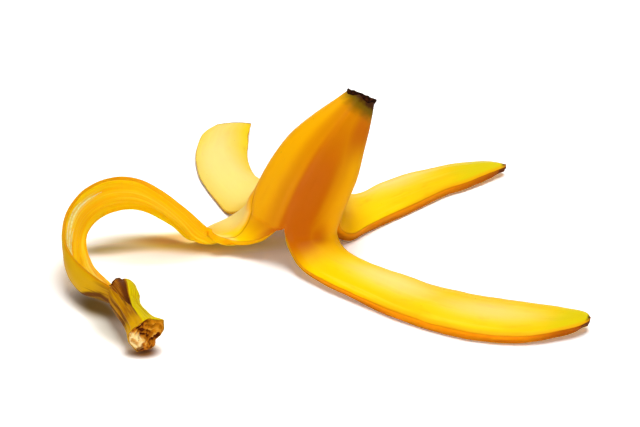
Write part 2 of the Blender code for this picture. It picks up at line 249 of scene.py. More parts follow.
def throughPoints(points):
    # a smooth curve through the points, read by distance; numbers after x, y, z are carried along
    points = np.array(points, float)
    gaps = np.maximum(np.linalg.norm(np.diff(points[:, :3], axis=0), axis=1), 1e-6)
    marks = np.concatenate([[0.0], np.cumsum(gaps)])
    slopes = np.diff(points, axis=0) / gaps[:, None]
    inner = slopes[:-1] * gaps[1:, None] + slopes[1:] * gaps[:-1, None]
    tangents = np.vstack([slopes[:1], inner / (gaps[1:] + gaps[:-1])[:, None], slopes[-1:]])

    def read(distance):
        distance = np.clip(np.atleast_1d(distance), 0.0, marks[-1])
        first = np.clip(np.searchsorted(marks, distance, side="right") - 1, 0, len(gaps) - 1)
        gap = gaps[first][:, None]
        u = (distance - marks[first])[:, None] / gap
        return (
            (2 * u**3 - 3 * u**2 + 1) * points[first]
            + (u**3 - 2 * u**2 + u) * gap * tangents[first]
            + (3 * u**2 - 2 * u**3) * points[first + 1]
            + (u**3 - u**2) * gap * tangents[first + 1]
        )

    return read, marks


def readTable(at, table):
    # pairs of place and value, read between them
    return np.interp(at, *zip(*table))


def smoothStep(value):
    value = np.clip(value, 0.0, 1.0)
    return value * value * (3 - 2 * value)


def bell(value):
    return np.exp(-value * value)


def unit(vectors, least=0.0):
    # every vector brought to length 1
    return vectors / np.maximum(np.linalg.norm(vectors, axis=-1, keepdims=True), least)


def fullTurn(count):
    return np.linspace(0, 2 * np.pi, count + 1)[:-1]


def wander(distance, size, seed):
    # soft noise from -1 to 1 along a line
    places = np.atleast_1d(distance) / size
    return np.array([noise.noise(Vector((place, seed, 0.5))) for place in places])


def noiseGrid(points, size, seed=0.0):
    flat = points.reshape(-1, 3)
    shift = Vector((seed, seed, seed))
    found = [noise.noise(Vector(point) / size + shift) for point in flat]
    return np.array(found).reshape(points.shape[:-1])


coneLine = throughPoints([(*centre, *others) for centre, *others in coneRings])[0]


def ringTurn(leanRight, leanBack):
    back = Matrix.Rotation(-math.radians(leanBack), 3, "X")
    return np.array(Matrix.Rotation(math.radians(leanRight), 3, "Y") @ back)


def ridgeRise(angles, distance):
    # rounded creases between flatter faces
    swing = readTable(distance, ridgeSwing) * bell((angles - peel["firstRidge"]) / 40)
    wave = np.cos(peel["ridges"] * np.radians(angles - peel["firstRidge"] + swing))
    return peel["ridgeRise"] * (((1 + wave) / 2) ** 2.2 - 0.36)


def conePoints(angles, distance):
    # points of the uncut skin round the cone, this far from the tip
    x, y, z, radius, leanRight, leanBack = coneLine(distance)[0]
    radius = radius + ridgeRise(angles, distance) * radius / coneRings[-2][1]
    turn = np.radians(angles)
    spokes = np.stack([radius * np.cos(turn), radius * np.sin(turn), 0 * turn])
    return np.array((x, y, z)) + (ringTurn(leanRight, leanBack) @ spokes).T


def conePoint(angle, distance):
    return conePoints(np.array([angle]), distance)[0]


def edgeLine(tear, points, counts):
    # one torn edge, row by row: down the cone to the start of the tear, then free
    angle, start = tear
    if points[0] is None:
        points = (conePoint(angle, peel["allFree"]), *points[1:])
        start = peel["allFree"]
    step = peel["rowStep"]
    rows = [conePoint(angle, row * step) for row in range(round(start / step) + 1)]
    passed = [conePoint(angle, start - 4 * step), conePoint(angle, start)]
    if start < peel["allFree"]:
        passed.append(points[0])
    read, marks = throughPoints([*passed, *points[1:]])
    mark = len(passed) - 1
    if start < peel["allFree"]:
        count = round((peel["allFree"] - start) / step)
        rows.extend(read(np.linspace(marks[1], marks[2], count + 1)[1:]))
    for count in counts:
        rows.extend(read(np.linspace(marks[mark], marks[mark + 1], count + 1)[1:]))
        mark += 1
    return np.array(rows)


def softened(rows, weights, reach):
    # each row eased towards its neighbours
    eased = rows.copy()
    for _ in range(reach):
        middle = (eased[:-2] + 2 * eased[1:-1] + eased[2:]) / 4
        share = weights[1:-1].reshape((-1,) + (1,) * (rows.ndim - 1))
        eased[1:-1] = eased[1:-1] * (1 - share) + middle * share
    return eased


def outwardOf(rows):
    # outward direction at each point of a strip
    return unit(np.cross(np.gradient(rows, axis=0), np.gradient(rows, axis=1)), 1e-9)


def fromLine(line, distance, share, width):
    # how far each point lies from a line drawn on the strip, across it in mm
    away = (share[None, :] - readTable(distance, line)[:, None]) * width
    beyond = np.maximum(line[0][0] - distance, distance - line[-1][0])[:, None]
    return np.where(beyond > 0, np.sign(away) * np.hypot(away, beyond * 3), away)


def stripRows(strip, seed):
    # the outer skin of one strip as rows of points, with what its finish needs to know
    firstTear, secondTear = strip["tears"]
    firstAngle, secondAngle = firstTear[0], secondTear[0]
    if secondAngle < firstAngle:
        secondAngle += 360.0
    firstPoints, secondPoints, arches = zip(*strip["stations"])
    ends = [
        (points[0] if points[0] is not None else conePoint(tear[0], peel["allFree"]), *points[1:])
        for tear, points in ((firstTear, firstPoints), (secondTear, secondPoints))
    ]
    lengths = [np.linalg.norm(np.diff(np.array(edge, float), axis=0), axis=1) for edge in ends]
    step = peel["rowStep"]
    counts = np.maximum(1, np.round((lengths[0] + lengths[1]) / 2 / step)).astype(int)
    first = edgeLine(firstTear, firstPoints, counts)
    second = edgeLine(secondTear, secondPoints, counts)

    flatness = 1 - math.cos(math.radians(secondAngle - firstAngle) / 2)
    coneRows = len(first) - counts.sum()
    heights = list(coneLine(np.arange(coneRows) * step)[:, 3] * flatness)
    read, marks = throughPoints([(i, 0, 0, arch) for i, arch in enumerate([heights[-1], *arches[1:]])])
    for index, count in enumerate(counts):
        heights.extend(read(np.linspace(marks[index], marks[index + 1], count + 1)[1:])[:, 3])

    distance = np.arange(len(first)) * step
    toEnd = distance[-1] - distance
    free = smoothStep((distance - min(firstTear[1], secondTear[1])) / peel["tearBlend"])
    easing = smoothStep((distance - peel["allFree"] - 3) / 8) * smoothStep((toEnd - 2) / 8)
    first, second, heights = [
        softened(line, easing, peel["easedRows"]) for line in (first, second, np.array(heights))
    ]

    across = unit(second - first)
    for edge, way, tear, lane in ((first, 1, firstTear, 0), (second, -1, secondTear, 1)):
        grown = smoothStep((distance - tear[1] - 4) / 12) * smoothStep(toEnd / 6)
        broad = wander(distance, 11.0, seed + lane)
        fine = wander(distance, 2.6, seed + lane + 5)
        edge += across * (way * grown * peel["fray"] * (0.4 + 2.2 * broad + 0.7 * fine))[:, None]

    middle = (first + second) / 2
    along = softened(np.gradient(middle, axis=0), np.ones(len(middle)), 6)
    halfWidth = np.linalg.norm(second - first, axis=1) / 2
    outward = unit(np.cross(along, across))
    places = np.linspace(-1.0, 1.0, peel["columns"] + 1)
    share = (places + 1) / 2
    angles = firstAngle + (secondAngle - firstAngle) * share
    rows = np.zeros((len(first), len(places), 3))
    for i in range(len(first)):
        if free[i] < 1.0:
            onCone = conePoints(angles, distance[i])
            pulled = np.outer(1 - share, first[i] - onCone[0]) + np.outer(share, second[i] - onCone[-1])
            rows[i] += (onCone + pulled) * (1 - free[i])
        if free[i] > 0.0:
            half = 2 * math.atan(max(heights[i], 0.01) / halfWidth[i])
            radius = halfWidth[i] / math.sin(half)
            arc = np.outer(radius * np.sin(half * places), across[i])
            lift = radius * (np.cos(half * places) - math.cos(half))
            low = min(1.0, toEnd[i] / 30, halfWidth[i] / 6)
            lift = lift + 0.5 * ridgeRise(angles, distance[i]) * low * (1 - places**4)
            rows[i] += (middle[i] + arc + np.outer(lift, outward[i])) * free[i]

    width = 2 * np.maximum(halfWidth, 0.5)[:, None]
    crease, vein = np.full((2, *rows.shape[:2]), farAway)
    under = np.zeros(rows.shape[:2])
    if "crease" in strip:
        crease = fromLine(strip["crease"], distance, share, width)
        vein = fromLine(strip["vein"], distance, share, width)
        # painted shade on the underside of the hook, below the vein
        under = smoothStep(-vein / 1.6) * smoothStep((distance - strip["underFrom"]) / 8)[:, None]
        fold = 0.7 * bell((crease + 3.0) / 2.6) - 0.6 * bell(crease / 0.8)
        fold = fold * smoothStep((distance - strip["foldFrom"]) / 6)[:, None]
        lift = fold + 0.45 * bell(vein / 1.4)
        rows += outwardOf(rows) * lift[:, :, None]

    facts = stripFacts(strip, distance, share, angles, width, crease)
    facts.update({"crease": crease, "vein": np.abs(vein), "under": under})
    facts["sideways"] = across[:, None, :] * places[None, :, None]
    return rows, facts


def stripFacts(strip, distance, share, angles, width, crease):
    # what the wall and the finish need to know at each point of a strip
    shape = (len(distance), len(share))
    toEnd = distance[-1] - distance
    ending = np.broadcast_to(toEnd[:, None], shape)
    toFirst, toSecond = [
        np.where(distance > tear[1] - 2, 0.0, peel["uncutGap"])[:, None] + width * across
        for tear, across in zip(strip["tears"], (share, 1 - share))
    ]
    wall = np.full(shape, peel["wall"])
    for gap, walls, tear in zip((toFirst, toSecond), strip["edgeWalls"], strip["tears"]):
        thinner = (readTable(distance, walls) - peel["wall"]) * smoothStep((distance - tear[1]) / 5)
        wall = wall + thinner[:, None] * (1 - smoothStep(gap / peel["wallTaper"]))
    wall = wall + (strip["endWall"] - wall) * (1 - smoothStep(ending / 8))

    # painted highlights: soft pale places where light falls on the skin
    paintedHighlight = np.zeros(shape)
    for middle, lane, reach, breadth, strength in strip["highlightSpots"]:
        away = np.outer(bell((distance - middle) / reach), bell((share - lane) / breadth))
        paintedHighlight = np.maximum(paintedHighlight, strength * away)
    # beside the cone the painted highlight lies only on the far side of the fold
    if "crease" in strip:
        far = smoothStep(-crease / 1.5) * smoothStep((distance - strip["foldFrom"] + 3) / 10)[:, None]
        paintedHighlight = paintedHighlight * np.maximum(far, smoothStep((distance - strip["bothHighlitFrom"]) / 6)[:, None])
    # painted shade in soft spots on the cone
    spotShade = np.zeros(shape)
    for direction, middle, breadth, reach, strength in shadeSpots:
        aside = (angles - direction + 180) % 360 - 180
        away = np.outer(bell((distance - middle) / reach), bell(aside / breadth))
        spotShade = np.maximum(spotShade, strength * away)
    cream = np.zeros(shape)
    if "creamLane" in strip:
        lane = bell((share[None, :] - readTable(distance, strip["creamLane"])[:, None]) / 0.10)
        atEdge = smoothStep((0.22 - share) / 0.2)
        cream = lane * smoothStep((distance - strip["creamFrom"]) / 22)[:, None]
        cream = cream + 0.8 * np.outer(smoothStep((distance - strip["creamEdgeFrom"]) / 20), atEdge)
    grown = smoothStep((distance - peel["allFree"]) / 8)
    flare = np.outer(grown, np.where(share < 0.5, *strip["flare"]))
    # painted shade along the edges of the front strips that turn down towards the front
    lowEdgeShade = toFirst if strip in (frontStrip, rightStrip) else np.full(shape, farAway)

    turn = np.radians(angles)
    place = np.zeros((*shape, 3))  # where a point lay on the whole fruit: round it, and along it
    place[:, :, 0] = peel["fruitRadius"] * np.cos(turn)
    place[:, :, 1] = peel["fruitRadius"] * np.sin(turn)
    place[:, :, 2] = distance[:, None]
    facts = {
        "place": place,
        "edgeGap": np.minimum(np.minimum(toFirst, toSecond), ending),
        "wall": np.maximum(wall, 0.5),
        "fresh": np.full(shape, float(strip is stemStrip)),
        "lowEdgeShade": lowEdgeShade + 3 * smoothStep((peel["lowEdgeShadeFrom"] - distance) / 60)[:, None],
        "flare": flare * np.minimum(1, ending / 12),
        "paintedHighlight": paintedHighlight,
        "spotShade": spotShade,
        "cream": cream,
        "through": np.zeros(shape),  # from 0 at the skin to 1 at the pith
    }
    ends = {name: smoothStep(1 - toEnd / max(strip[name], 0.01)) for name in ("green", "stalk")}
    ends["brown"] = np.clip(1 - toEnd / max(strip["brown"] * 2, 0.01), 0, 1)
    for name, values in ends.items():
        facts[name] = np.broadcast_to(values[:, None], shape)
    return facts


def addSheet(rows, facts):
    # a grid with its points moved onto the rows
    last = np.array(rows.shape[:2]) - 1
    bpy.ops.mesh.primitive_grid_add(x_subdivisions=int(last[0]), y_subdivisions=int(last[1]), size=1.0)
    sheet = bpy.context.active_object
    mesh = sheet.data
    flat = np.zeros(len(mesh.vertices) * 3)
    mesh.vertices.foreach_get("co", flat)
    spots = np.round((flat.reshape(-1, 3)[:, :2] + 0.5) * last).astype(int)
    picked = rows[spots[:, 0], spots[:, 1]] * mm + np.array(footShift)
    mesh.vertices.foreach_set("co", picked.ravel())
    for name, values in facts.items():
        vector = values.ndim == 3
        layer = mesh.attributes.new(name, "FLOAT_VECTOR" if vector else "FLOAT", "POINT")
        found = values[spots[:, 0], spots[:, 1]]
        layer.data.foreach_set("vector" if vector else "value", found.ravel())
    mesh.update()
    return sheet


def joined(pieces, name):
    bpy.ops.object.select_all(action="DESELECT")
    for piece in pieces:
        piece.select_set(True)
    bpy.context.view_layer.objects.active = pieces[0]
    bpy.ops.object.join()
    whole = bpy.context.active_object
    whole.name = name
    whole.data.name = name
    return whole


def applyModifier(piece, kind, name, **settings):
    bpy.context.view_layer.objects.active = piece
    modifier = piece.modifiers.new(name, kind)
    for key, value in settings.items():
        setattr(modifier, key, value)
    bpy.ops.object.modifier_apply(modifier=name)


def readPoints(mesh, name="co", width=3):
    values = np.zeros(len(mesh.vertices) * width)
    if name in ("co", "normal"):
        mesh.vertices.foreach_get(name, values)
    else:
        mesh.attributes[name].data.foreach_get("vector" if width == 3 else "value", values)
    return values.reshape(-1, width) if width > 1 else values


def facesWith(mesh, material):
    index = np.zeros(len(mesh.polygons), int)
    mesh.polygons.foreach_get("material_index", index)
    return index == material


def verticesOf(mesh, chosen):
    # which vertices the chosen faces touch
    touched = np.zeros(len(mesh.vertices), bool)
    for face in np.nonzero(chosen)[0]:
        touched[list(mesh.polygons[face].vertices)] = True
    return touched


skinMaterial, pithMaterial, tornMaterial = 0, 1, 2


def makeSkin():
    sheets = [addSheet(*stripRows(strip, seed * 10.0)) for seed, strip in enumerate(strips)]
    skin = joined(sheets, "peelSkin")
    bpy.ops.object.mode_set(mode="EDIT")
    bpy.ops.mesh.select_all(action="SELECT")
    bpy.ops.mesh.remove_doubles(threshold=0.02 * mm)
    bpy.ops.object.mode_set(mode="OBJECT")
    clouds = bpy.data.textures.new("dents", "CLOUDS")
    clouds.noise_scale = peel["dentSize"] * mm
    clouds.noise_depth = 1
    applyModifier(skin, "DISPLACE", "dents", texture=clouds, strength=peel["dents"] * mm,
                  mid_level=0.5, texture_coords="LOCAL")
    for _ in (skinMaterial, pithMaterial, tornMaterial):
        skin.data.materials.append(None)
    outerCount = len(skin.data.vertices)
    group = skin.vertex_groups.new(name="wallShare")
    for i, wall in enumerate(readPoints(skin.data, "wall", 1)):
        group.add([i], float(wall) / peel["thickestWall"], "REPLACE")
    applyModifier(skin, "SOLIDIFY", "wall", thickness=peel["thickestWall"] * mm, offset=-1.0,
                  vertex_group="wallShare", material_offset=pithMaterial, material_offset_rim=tornMaterial)
    print("skin given its wall:", outerCount, "points outside")
    inside = verticesOf(skin.data, facesWith(skin.data, pithMaterial))
    skin.data.attributes["through"].data.foreach_set("value", inside.astype(float))
    cutTornFace(skin)
    roughenTornFace(skin)
    return skin


tornFace = {
    "cuts": 5,            # how many times the face is divided between skin and pith
    "swell": 0.08,        # how far all of it bulges
    "fibreLength": 14,    # the fibres that stand out of it
    "fibreRise": 0.30,
    "speckSize": 0.9,
    "speckRise": 0.08,
    "cornerReach": 1.6,   # how far from the tear the corner of the pith wanders
    "cornerWander": 0.45,
    "pithLength": 22,     # the low fibres all over the pith
    "pithRise": 0.16,
}


def cutTornFace(skin):
    # edges that cross the torn face, from skin to pith, are divided
    mesh = skin.data
    torn = facesWith(mesh, tornMaterial)
    outside = verticesOf(mesh, facesWith(mesh, skinMaterial))
    inside = verticesOf(mesh, facesWith(mesh, pithMaterial))
    crossing = set()
    for face in np.nonzero(torn)[0]:
        for a, b in mesh.polygons[face].edge_keys:
            if outside[a] != outside[b] and inside[a] != inside[b]:
                crossing.add((a, b))
    bpy.ops.object.mode_set(mode="EDIT")
    bpy.ops.mesh.select_mode(type="EDGE")
    bpy.ops.mesh.select_all(action="DESELECT")
    bpy.ops.object.mode_set(mode="OBJECT")
    for edge in mesh.edges:
        edge.select = edge.key in crossing
    bpy.ops.object.mode_set(mode="EDIT")
    bpy.ops.mesh.subdivide(number_cuts=tornFace["cuts"])
    bpy.ops.object.mode_set(mode="OBJECT")
    print("torn face divided:", len(crossing), "edges")


def roughenTornFace(skin):
    # long fibres stand out of the torn face, and its corners wander
    mesh = skin.data
    points, normals = readPoints(mesh), readPoints(mesh, "normal")
    place, sideways = readPoints(mesh, "place"), readPoints(mesh, "sideways")
    edgeGap, wall, through, flare = [
        readPoints(mesh, name, 1) for name in ("edgeGap", "wall", "through", "flare")
    ]
    materials = (skinMaterial, pithMaterial, tornMaterial)
    outer, inner, torn = [verticesOf(mesh, facesWith(mesh, material)) for material in materials]
    for i in np.nonzero(torn & ~outer & ~inner)[0]:
        depth = Vector(points[i] / mm)
        points[i] += sideways[i] * mm * flare[i] * through[i]
        lengthwise = place[i][2] / tornFace["fibreLength"]
        fibre = noise.noise(Vector((lengthwise, through[i] * wall[i] * 1.3, place[i][0] / 5)))
        speck = noise.noise(depth / tornFace["speckSize"])
        rise = tornFace["swell"] + tornFace["fibreRise"] * fibre + tornFace["speckRise"] * speck
        points[i] += normals[i] * mm * min(1.0, wall[i] / 3) * rise
    for i in np.nonzero(inner & (edgeGap < 5))[0]:
        near = math.exp(-edgeGap[i] / tornFace["cornerReach"])
        shift = noise.noise(Vector((place[i][2] / 9, place[i][0] / 9, 3.3)))
        corner = min(1.0, wall[i] / 3) * (0.1 + tornFace["cornerWander"] * shift)
        points[i] += sideways[i] * mm * near * (corner + flare[i])
    for i in np.nonzero(inner & ~torn)[0]:
        lengthwise = place[i][2] / tornFace["pithLength"]
        lane = noise.noise(Vector((place[i][0] * 0.9, place[i][1] * 0.9, lengthwise)))
        points[i] += normals[i] * mm * tornFace["pithRise"] * lane
    points[:, 2] = np.maximum(points[:, 2], cadBox[0][2])
    mesh.vertices.foreach_set("co", points.ravel())
    mesh.update()


# Directions round the stem are in degrees from its top, over to the left.
# Places along it are in mm from where it grows out of the strip.
stem = {
    # points of the centre line, with the radius every 45 degrees
    "sections": (
        ((-72.0, -52.5, 8.2), (5.4, 4.1, 3.4, 3.2, 3.4, 4.2, 4.6, 5.4)),
        ((-69.0, -58.5, 8.8), (6.7, 5.9, 5.5, 5.4, 5.6, 6.0, 5.9, 6.4)),
        ((-65.5, -66.0, 8.6), (5.0, 5.4, 5.8, 5.8, 5.7, 5.4, 5.0, 4.9)),
        ((-63.0, -72.0, 8.2), (4.8, 5.0, 5.4, 5.6, 5.5, 5.2, 5.0, 4.9)),
        ((-60.5, -77.5, 8.0), (5.1, 5.1, 5.6, 6.0, 6.0, 5.5, 5.4, 5.3)),
        ((-58.5, -82.0, 7.8), (5.6, 5.2, 6.2, 6.8, 6.8, 5.8, 6.2, 6.4)),
        ((-57.5, -84.5, 7.8), (6.2, 5.0, 6.8, 7.2, 7.4, 6.0, 7.2, 7.4)),
    ),
    # the ragged outline of the cut end: direction, radius
    "rim": ((-180, 7.8), (-156, 7.3), (-133, 5.4), (-106, 6.4), (-87, 7.5), (-72, 7.9), (-61, 8.8),
            (-50, 7.3), (-37, 6.7), (-14, 6.5), (9, 5.3), (39, 5.0), (60, 5.8), (79, 6.8), (97, 6.8),
            (122, 7.1), (157, 8.0), (180, 7.8)),
    "rimLength": 3.2,     # length over which the stem takes on that outline
    # the bare hollow where another strip was torn off: place, direction of its sides
    "hollowRight": ((0, -38), (4, -27), (10, -14), (16, -2), (22, 8)),
    "hollowLeft": ((0, 40), (8, 44), (15, 32), (20, 20), (22, 12)),
    "hollowLength": 22,
    "hollow": 1.3,        # its depth
    "flap": 0.5,          # how far the green flap beside it stands out
    "flapLength": 14.5,
    "flapFade": 26,       # where the skin below it is as high again
    # where the torn end starts: direction, place
    "tornEnd": ((-180, 7), (-110, 8), (-90, 7.2), (-60, 4.6), (-22, 1.4), (0, 1.2), (30, 2.0),
                (60, 3.0), (180, 7)),
    # a brown seam down its left side: place, direction
    "seam": ((0, 88), (10, 96), (20, 92), (34, 84)),
    "sides": 180,
    "ringStep": 0.35,
    "fluteDepth": 0.035,
    "crownRings": 8,
    "cutRings": 34,
    "cutBumps": 1.0,      # relief of the cut end
    "cutLobes": ((3.0, 4.0, 1.3), (1.5, 9.0, 1.3), (0.8, 5.0, 0.5)),  # size, seed, height
    "cutCurl": 19,        # how tightly the fibres curl on its upper half
    "lowest": 0.4,        # how near the floor it comes
}


def addRings(rings, name, facts):
    # a grid rolled into closed rings, its first and last ring drawn to a point
    rolled, *wrapped = [np.concatenate([grid, grid[:, :1]], axis=1) for grid in (rings, *facts.values())]
    body = addSheet(rolled, dict(zip(facts, wrapped)))
    body.name = name
    body.data.name = name
    bpy.ops.object.mode_set(mode="EDIT")
    bpy.ops.mesh.select_all(action="SELECT")
    bpy.ops.mesh.remove_doubles(threshold=0.004 * mm)
    bpy.ops.mesh.normals_make_consistent(inside=False)
    bpy.ops.object.mode_set(mode="OBJECT")
    return body


def roundAbout(samples, turn):
    # a smooth closed curve through evenly spaced radii
    waves = np.fft.rfft(samples) / len(samples)
    waves[1:-1] *= 2
    return sum((wave * np.exp(1j * count * turn)).real for count, wave in enumerate(waves))


def stemRings(line, length, distance, turn, along, up, left):
    # the rings down the stem, each with what its finish needs to know
    degrees = (np.degrees(turn) + 180) % 360 - 180
    rimRadius = readTable(degrees, stem["rim"])
    tornEnd = readTable(degrees, stem["tornEnd"])
    rings, facts = [], {name: [] for name in ("place", "bare", "shade", "flap", "lines", "tornTop")}
    for i, s in enumerate(distance):
        toRim = smoothStep((s - length + stem["rimLength"]) / stem["rimLength"])
        radius = roundAbout(line[i, 3:], turn) * (1 - toRim) + rimRadius * toRim
        fluted = 0.5 + 0.5 * smoothStep((s - 4) / 8)
        drift = 1.6 * float(wander(s, 13.0, 2.0)[0])
        other = 2.2 * float(wander(s, 9.0, 6.0)[0])
        flute = np.cos(7 * turn + 0.6 + drift) + 0.7 * np.cos(11 * turn + 2.0 - other)
        flute = flute + 0.5 * np.cos(19 * turn + drift)
        radius = radius * (1 + stem["fluteDepth"] * flute * fluted * (1 - 0.6 * toRim))
        # the hollow narrows down the stem's top
        low, high = readTable(s, stem["hollowRight"]), readTable(s, stem["hollowLeft"])
        inside = smoothStep((degrees - low) / 5) * smoothStep((high - degrees) / 6)
        inside = inside * smoothStep((stem["hollowLength"] - s) / 5)
        radius = radius - stem["hollow"] * inside * (0.25 + 0.75 * smoothStep(s / 5))
        # to the right of it the green skin stands out and ends in a corner
        beside = smoothStep((low - degrees) / 5) * smoothStep((degrees + 105) / 30)
        outwards = smoothStep((s - 1) / 5) * smoothStep((stem["flapLength"] - s) / 2.5)
        pastFlap = smoothStep((s - stem["flapLength"] + 2) / 2) * smoothStep((stem["flapFade"] - s) / 8)
        radius = radius + stem["flap"] * beside * outwards - 0.5 * beside * pastFlap
        ring = line[i, :3] + np.outer(radius * np.cos(turn), up[i]) + np.outer(radius * np.sin(turn), left[i])
        rings.append(ring + 0.9 * np.outer(np.maximum(0, tornEnd - s), along[i]))
        seam = bell((degrees - readTable(s, stem["seam"])) / 8) * smoothStep((s - 3) / 4)
        valley = smoothStep((-0.1 - flute) / 0.9) * fluted
        place = [peel["fruitRadius"] * np.cos(turn), peel["fruitRadius"] * np.sin(turn)]
        facts["place"].append(np.stack([*place, np.full(len(turn), 160 + s)], axis=1))
        facts["bare"].append(inside)
        facts["shade"].append(inside * smoothStep((low + 44 - degrees) / 34))
        facts["flap"].append(smoothStep((low + 2 - degrees) / 5) * smoothStep((degrees + 150) / 30))
        facts["lines"].append(np.maximum(valley * 0.75, 1.3 * seam))
        facts["tornTop"].append(smoothStep((tornEnd + 1.3 - s) / 0.8))
    return rings, facts


def cutEnd(last, along, up, turn):
    # rings from the rim of the cut end to its middle, and how high each point of them stands
    middle = last.mean(axis=0)
    cut, relief = [], []
    for k in range(stem["cutRings"]):
        inwards = (k + 1) / stem["cutRings"]
        spread = middle + (last - middle) * (1 - inwards)
        lobes = sum(noiseGrid(spread, size, seed) * height for size, seed, height in stem["cutLobes"])
        above = smoothStep(0.4 + (spread - middle) @ up / 7) * smoothStep((0.95 - inwards) * 3)
        curl = inwards * stem["cutCurl"] + 2.4 * np.sin(turn + 0.8) + 7 * noiseGrid(spread, 4.5, 2.0)
        swirl = np.sin(curl) * above
        grown = smoothStep(inwards * 5) * min(1.0, (1 - inwards) * 6)
        lower = smoothStep(-(spread - middle) @ up / 6)
        lift = stem["cutBumps"] * (0.5 * smoothStep(inwards * 3) + grown * (lobes + 0.5 * swirl))
        lift = lift + 1.6 * lower * smoothStep(inwards * 4)
        cut.append(spread + lift[:, None] * along)
        relief.append(0.5 + 0.5 * np.clip(lobes * 0.75 + 0.55 * swirl, -1, 1))
    return cut, relief, middle


def makeStem():
    read, marks = throughPoints([(*centre, *radii) for centre, radii in stem["sections"]])
    length = marks[-1]
    distance = np.linspace(0.0, length, round(length / stem["ringStep"]) + 1)
    line = read(distance)
    along = unit(np.gradient(line[:, :3], axis=0))
    up = unit(np.array([0.0, 0.0, 1.0]) - along * along[:, 2:3])
    left = np.cross(along, up)
    turn = fullTurn(stem["sides"])
    rings, facts = stemRings(line, length, distance, turn, along, up, left)
    centre = rings[0].mean(axis=0) + along[0] * 1.2
    crown = []
    for k in range(stem["crownRings"]):
        inwards = (k + 1) / stem["crownRings"]
        crown.insert(0, rings[0] * (1 - inwards) + centre * inwards)
    cut, relief, middle = cutEnd(rings[-1], along[-1], up[-1], turn)

    before, after = len(crown), len(cut)
    ends = {"bare": 1.0, "shade": 0.3, "flap": 0.0, "lines": 0.0, "tornTop": 1.0}
    places = facts["place"]
    whole = {"place": np.array([places[0]] * before + places + [places[-1]] * after)}
    flat = np.ones(len(turn))
    for name, value in ends.items():
        whole[name] = np.array([flat * value] * before + facts[name] + [flat * 0] * after)
    onCut = [flat * smoothStep((k + 1) / 3) for k in range(after)]
    whole["cut"] = np.array([flat * 0] * (before + len(rings)) + onCut)
    whole["relief"] = np.array([flat * 0.5] * (before + len(rings)) + relief)
    allRings = np.array(crown + rings + cut)
    aside, above = (allRings - middle) @ left[-1], (allRings - middle) @ up[-1]
    whole["cutPlace"] = np.stack([aside, above, np.zeros_like(aside)], axis=2)
    allRings[:, :, 2] = np.maximum(allRings[:, :, 2], stem["lowest"])
    return addRings(allRings, "stemBar", whole)


tip = {
    "radius": 6.15,
    "sides": 120,
    "bumps": 0.32,
    "profile": (  # reach as a share of the radius, height over the last ring of skin
        (0.0, -3.0), (0.5, -3.0), (0.93, -3.0), (0.97, -2.2), (1.0, -1.4), (1.02, -0.9),
        (1.04, -0.5), (1.05, -0.1), (1.055, 0.25), (1.045, 0.5), (1.01, 0.68), (0.96, 0.74),
        (0.9, 0.66), (0.84, 0.5), (0.78, 0.42), (0.72, 0.5), (0.66, 0.62), (0.6, 0.6), (0.52, 0.4),
        (0.44, 0.3), (0.36, 0.4), (0.27, 0.7), (0.18, 0.8), (0.09, 0.78), (0.0, 0.76),
    ),
}


def makeTip():
    centre, _, *leans = coneRings[0]
    turned = ringTurn(*leans)
    turn = fullTurn(tip["sides"])
    wavy = 1 + 0.02 * np.cos(5 * turn + 1) + 0.02 * np.cos(3 * turn + 2) + 0.012 * np.cos(11 * turn)
    rings, height = [], []
    for reach, rise in tip["profile"]:
        radius = tip["radius"] * reach * (wavy if reach > 0 else 1)
        ring = np.stack([radius * np.cos(turn), radius * np.sin(turn), np.full(len(turn), rise)], axis=1)
        rough = noiseGrid(ring, 1.5, 3.0) * tip["bumps"] * min(1.0, reach * 5) * (rise > -2.5)
        ring[:, 2] += rough
        ring[:, :2] *= (1 + 0.04 * rough)[:, None]
        rings.append((turned @ ring.T).T + np.array(centre))
        height.append(np.full(len(turn), rise))
    return addRings(np.array(rings), "blossomTip", {"height": np.array(height)})


# Loose strings of the fruit left on the pith of the stem strip: thickness, then points
# given by distance from the tip and share across
strings = {
    "paths": (
        (0.40, ((140, 0.77), (150, 0.79), (160, 0.80), (172, 0.78), (184, 0.76), (196, 0.78))),
        (0.30, ((150, 0.86), (162, 0.87), (174, 0.86), (186, 0.84), (199, 0.87))),
        (0.26, ((162, 0.70), (172, 0.71), (182, 0.66), (192, 0.69), (203, 0.72))),
    ),
    "step": 0.6,
    "sides": 10,
    "flatness": 0.7,  # height of a string as a share of its width
}


def makeStrings():
    rows, facts = stripRows(stemStrip, 30.0)
    inside = rows - outwardOf(rows) * facts["wall"][:, :, None]
    pieces = []
    for count, (thick, path) in enumerate(strings["paths"]):
        distance = np.arange(path[0][0], path[-1][0], strings["step"])
        share = throughPoints([(d, 0, 0, s) for d, s in path])[0](distance - path[0][0])[:, 3]
        share = share + 0.012 * wander(distance, 3.0, count)
        row, column = distance / peel["rowStep"], share * peel["columns"]
        i, j = row.astype(int), column.astype(int)
        u, v = (row - i)[:, None], (column - j)[:, None]
        line = (inside[i, j] * (1 - u) + inside[i + 1, j] * u) * (1 - v)
        line = line + (inside[i, j + 1] * (1 - u) + inside[i + 1, j + 1] * u) * v
        normal = -outwardOf(rows)[i, j]
        line = line + normal * (0.1 + 0.25 * (wander(distance, 9.0, count + 7.0) + 0.5))[:, None]
        side = unit(np.cross(unit(np.gradient(line, axis=0)), normal))
        ends = np.linspace(0, 1, len(line))
        radius = thick * np.minimum(1, 8 * np.minimum(ends, 1 - ends)) ** 0.5
        radius = radius * (1 + 0.3 * wander(distance, 2.0, count + 3.0))
        turn = fullTurn(strings["sides"])[None, :, None]
        circle = np.cos(turn) * side[:, None, :]
        circle = circle + strings["flatness"] * np.sin(turn) * normal[:, None, :]
        rings = line[:, None, :] + circle * np.maximum(radius, 0)[:, None, None]
        pieces.append(addRings(rings, "pithString", {}))
    return joined(pieces, "pithStrings")


